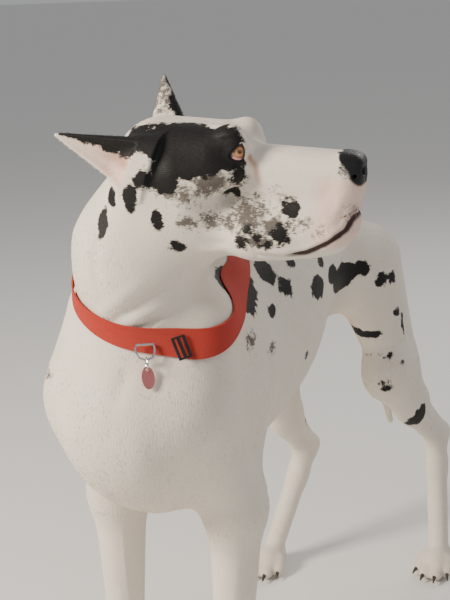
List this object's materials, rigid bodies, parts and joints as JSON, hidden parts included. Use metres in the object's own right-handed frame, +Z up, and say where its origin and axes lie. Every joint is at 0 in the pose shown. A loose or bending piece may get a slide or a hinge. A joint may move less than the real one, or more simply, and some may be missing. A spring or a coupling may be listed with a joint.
{
  "type": "great dane",
  "caption": "Standing harlequin great dane, life size, head turned to its left, cropped ears, wearing a red webbing collar with a blank tag.",
  "frame": {"origin": "middle of the bounding box at the floor", "axes": "+Z up, the body faces -Y, +X is the dog's left"},
  "size_m": [0.5078, 1.038, 1.0972],
  "materials": {
    "white_coat": "short smooth coat, white with torn black patches",
    "ear_skin": "short coat, grey and black",
    "claw_horn": "dark horn",
    "eye": "wet, amber iris",
    "red_webbing": "woven",
    "steel": "polished, a little worn",
    "rose_metal": "anodised, worn",
    "black_plastic": "satin"
  },
  "bodies": {
    "root": {"collar_d_ring": "steel", "collar_slider": "black_plastic", "collar_webbing": "red_webbing", "head": "white_coat", "left_ear": "ear_skin", "left_eye": "eye", "left_fore_claw_1": "claw_horn", "left_fore_claw_2": "claw_horn", "left_fore_claw_3": "claw_horn", "left_fore_claw_4": "claw_horn", "left_foreleg": "white_coat", "left_hind_claw_1": "claw_horn", "left_hind_claw_2": "claw_horn", "left_hind_claw_3": "claw_horn", "left_hind_claw_4": "claw_horn", "left_hind_leg": "white_coat", "name_tag": "rose_metal", "neck": "white_coat", "right_ear": "ear_skin", "right_eye": "eye", "right_fore_claw_1": "claw_horn", "right_fore_claw_2": "claw_horn", "right_fore_claw_3": "claw_horn", "right_fore_claw_4": "claw_horn", "right_foreleg": "white_coat", "right_hind_claw_1": "claw_horn", "right_hind_claw_2": "claw_horn", "right_hind_claw_3": "claw_horn", "right_hind_claw_4": "claw_horn", "right_hind_leg": "white_coat", "split_ring": "steel", "tail": "white_coat", "torso": "white_coat"}
  },
  "joints": []
}
